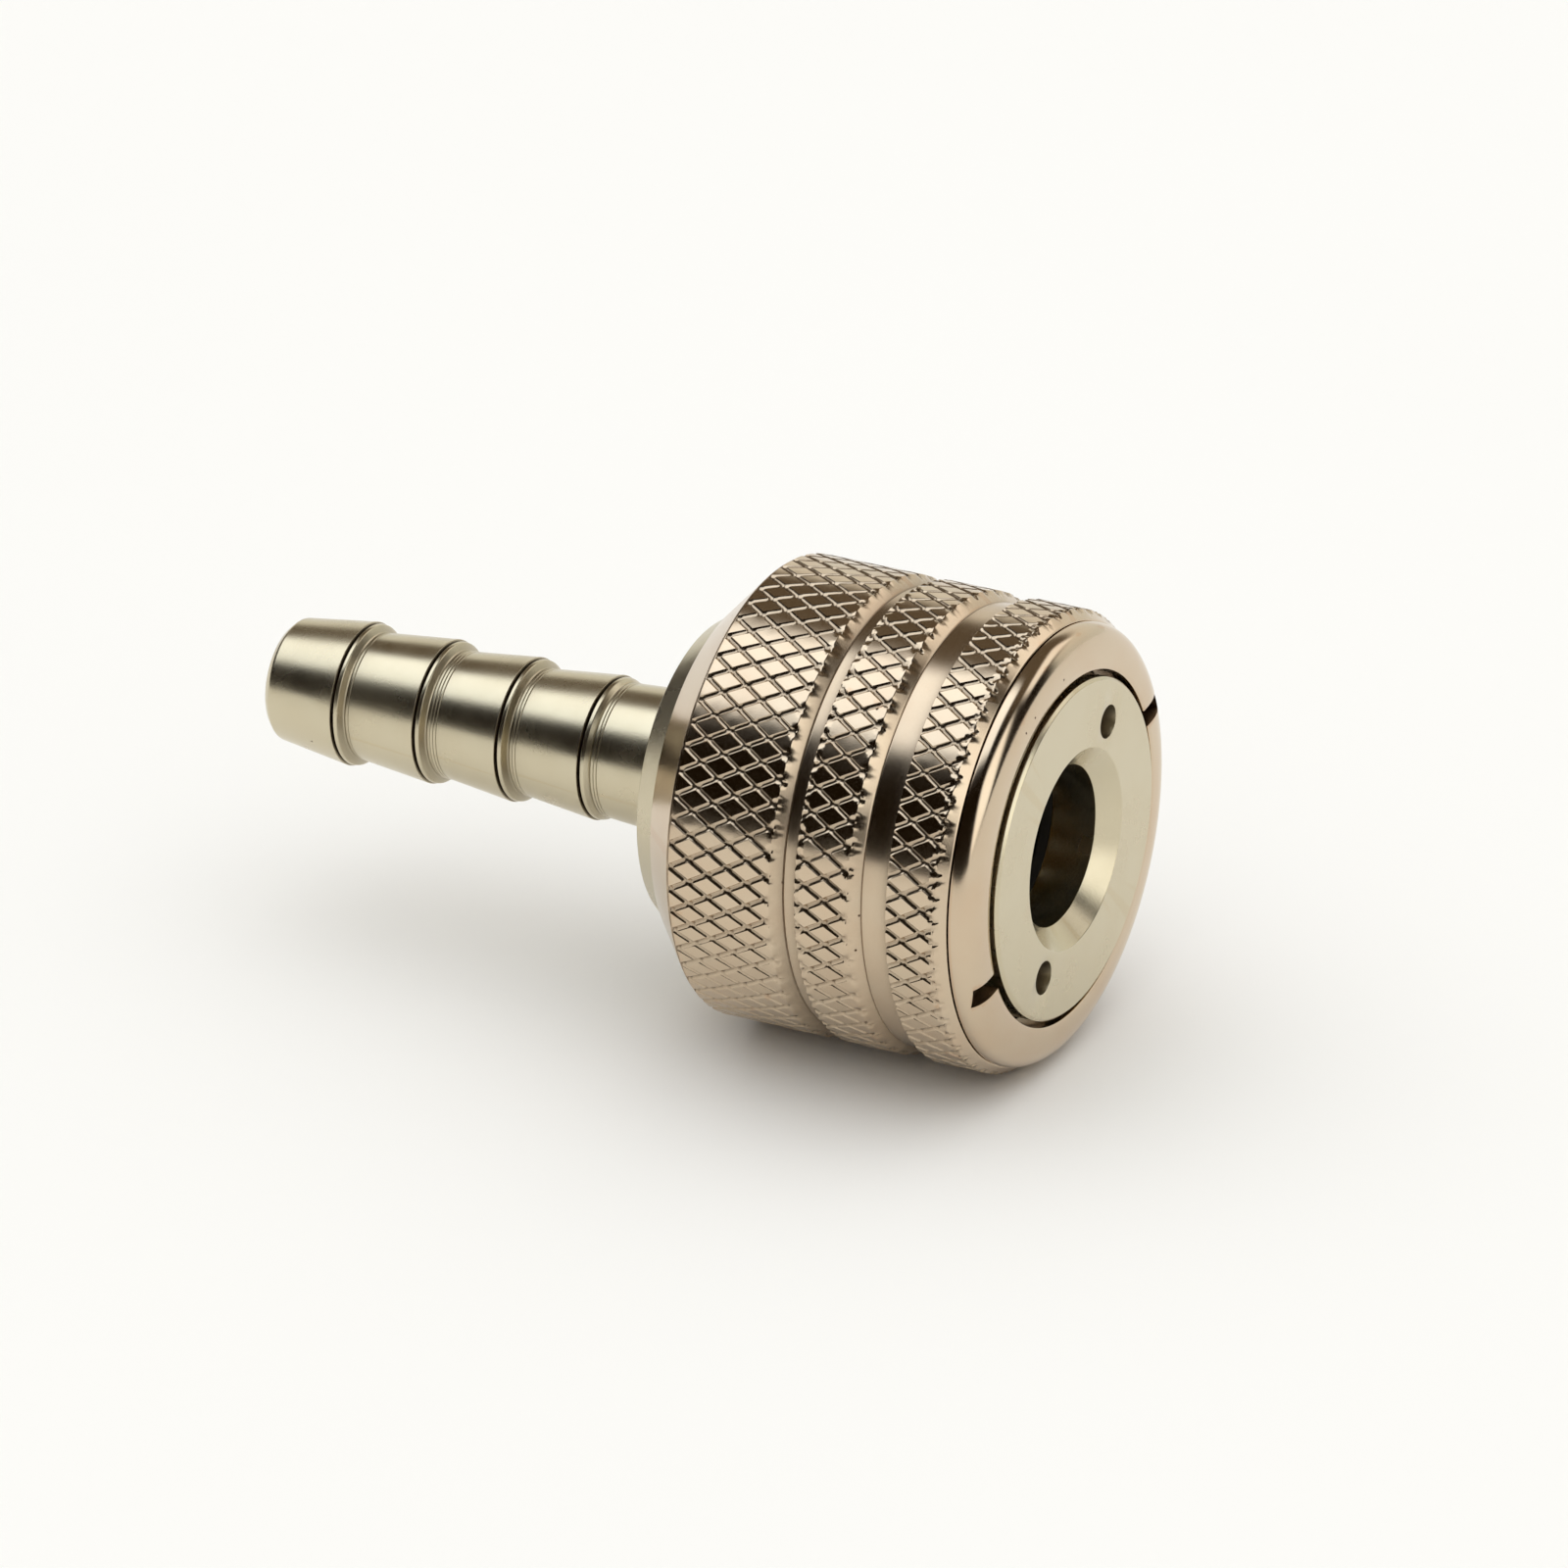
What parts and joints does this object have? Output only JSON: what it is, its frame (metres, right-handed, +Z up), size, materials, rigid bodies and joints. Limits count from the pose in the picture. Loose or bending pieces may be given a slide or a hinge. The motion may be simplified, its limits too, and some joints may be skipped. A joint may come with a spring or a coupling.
{
  "type": "quick-connect gas hose socket",
  "caption": "Round nickel-plated quick-connect socket for a gas hose: barbed tail, knurled sliding sleeve, spring shut-off valve and ball lock.",
  "frame": {"origin": "on the axis, in the hub's rear face, where the end of the hose stops", "axes": "+X along the axis, from the hose tail to the nose; +Z up"},
  "size_m": [0.0566, 0.03, 0.03],
  "materials": {
    "nickel_tail": "satin nickel plate over turned brass",
    "nickel_sleeve": "bright nickel plate over turned and knurled brass",
    "plain_brass": "as turned",
    "bright_steel": "polished stainless",
    "seal_rubber": "matt",
    "ptfe": "carbon-filled, near black"
  },
  "bodies": {
    "housing": {"hose_tail": "nickel_tail", "tail_gasket": "ptfe", "barrel": "plain_brass", "valve_guide": "plain_brass", "valve_spring": "bright_steel", "plug_seal": "seal_rubber", "backup_ring": "ptfe", "nose_insert": "nickel_tail", "sleeve_spring": "bright_steel"},
    "slider": {"thrust_washer": "ptfe", "stop_washer": "bright_steel"},
    "sleeve": {"sleeve": "nickel_sleeve", "lock_ring": "nickel_sleeve"},
    "poppet": {"valve_poppet": "plain_brass", "poppet_seal": "seal_rubber"},
    "ball_1": {"lock_ball_1": "bright_steel"},
    "ball_2": {"lock_ball_2": "bright_steel"},
    "ball_3": {"lock_ball_3": "bright_steel"},
    "ball_4": {"lock_ball_4": "bright_steel"},
    "ball_5": {"lock_ball_5": "bright_steel"},
    "ball_6": {"lock_ball_6": "bright_steel"}
  },
  "joints": [
    {"name": "sleeve_slide", "type": "slide", "parent": "housing", "child": "slider", "axis": [-1, 0, 0], "range_m": [0, 0.0035], "stiffness_N_per_m": 2000, "springref_m": -0.002, "deforming": ["sleeve_spring"]},
    {"name": "sleeve_turn", "type": "hinge", "parent": "slider", "child": "sleeve", "pos_m": [0, 0, 0], "axis": [1, 0, 0], "continuous": true},
    {"name": "poppet_slide", "type": "slide", "parent": "housing", "child": "poppet", "axis": [-1, 0, 0], "range_m": [0, 0.0025], "stiffness_N_per_m": 500, "springref_m": -0.002, "deforming": ["valve_spring"]},
    {"name": "ball_1_slide", "type": "slide", "parent": "housing", "child": "ball_1", "axis": [0, 0.866, 0.5], "range_m": [0, 0.0008]},
    {"name": "ball_2_slide", "type": "slide", "parent": "housing", "child": "ball_2", "axis": [0, 0, 1], "range_m": [0, 0.0008]},
    {"name": "ball_3_slide", "type": "slide", "parent": "housing", "child": "ball_3", "axis": [0, -0.866, 0.5], "range_m": [0, 0.0008]},
    {"name": "ball_4_slide", "type": "slide", "parent": "housing", "child": "ball_4", "axis": [0, -0.866, -0.5], "range_m": [0, 0.0008]},
    {"name": "ball_5_slide", "type": "slide", "parent": "housing", "child": "ball_5", "axis": [0, 0, -1], "range_m": [0, 0.0008]},
    {"name": "ball_6_slide", "type": "slide", "parent": "housing", "child": "ball_6", "axis": [0, 0.866, -0.5], "range_m": [0, 0.0008]}
  ],
  "couplings": [
    {"joint": "ball_1_slide", "follows": "sleeve_slide", "ratio": 0.22857},
    {"joint": "ball_2_slide", "follows": "sleeve_slide", "ratio": 0.22857},
    {"joint": "ball_3_slide", "follows": "sleeve_slide", "ratio": 0.22857},
    {"joint": "ball_4_slide", "follows": "sleeve_slide", "ratio": 0.22857},
    {"joint": "ball_5_slide", "follows": "sleeve_slide", "ratio": 0.22857},
    {"joint": "ball_6_slide", "follows": "sleeve_slide", "ratio": 0.22857}
  ]
}
